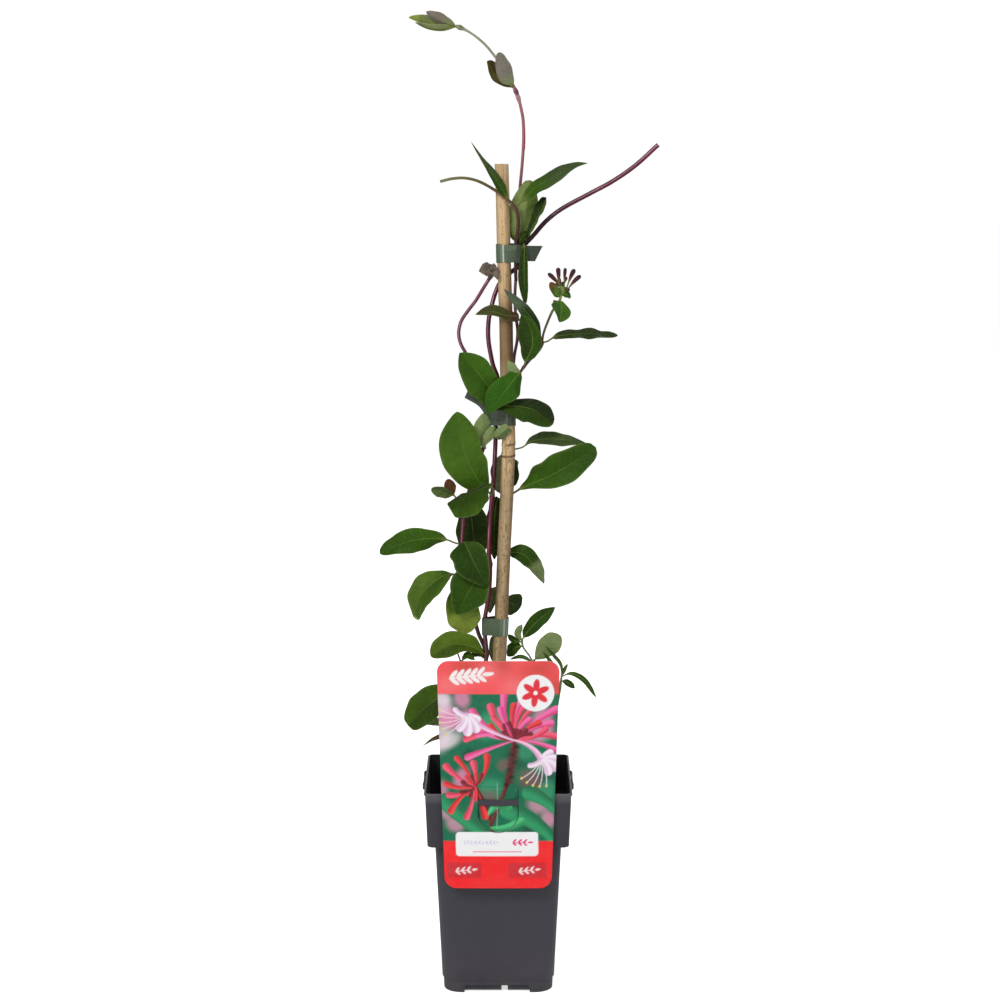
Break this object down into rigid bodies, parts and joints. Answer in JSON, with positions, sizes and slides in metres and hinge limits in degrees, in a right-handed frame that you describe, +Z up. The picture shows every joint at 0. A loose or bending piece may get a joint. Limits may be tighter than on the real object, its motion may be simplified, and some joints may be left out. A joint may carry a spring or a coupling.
{
  "type": "potted honeysuckle vine",
  "caption": "Young climbing shrub with oval leaves and a small bud cluster, tied to a bamboo cane in a tall square nursery pot with a hanging picture card.",
  "frame": {"origin": "middle of the pot's base, on the round hub foot, on the surface that the pot stands on", "axes": "+Z up along the pot, +X to the right and -Y towards the viewer of the side that the picture card hangs on"},
  "size_m": [0.2472, 0.1369, 0.8701],
  "materials": {
    "pot_plastic": "dark charcoal moulded plastic, softly shining, near black inside",
    "potting_soil": "dry crumbly dark brown compost with bark pieces",
    "bamboo": "tan satin bamboo skin with fine brown specks and streaks",
    "tie_tape": "thin grey-green plastic tape, glossy, slightly creased",
    "printed_card": "thin printed plastic card, satin gloss",
    "leaf": "waxy mid to dark green leaves with pale midribs on burgundy stems",
    "young_leaf": "softer pale green to grey-green young leaves",
    "bud": "dark purple-red flower buds with greenish bases"
  },
  "bodies": {
    "root": {"pot": "pot_plastic", "soil": "potting_soil", "cane": "bamboo", "tie_low": "tie_tape", "tie_middle": "tie_tape", "tie_top": "tie_tape", "label_card": "printed_card", "stem_main": "leaf", "stem_left": "leaf", "shoot_top": "leaf", "shoot_flower": "leaf", "flower_buds": "bud", "shoot_low_left": "leaf", "shoot_low_right": "young_leaf", "shoot_narrow": "young_leaf"}
  },
  "joints": []
}
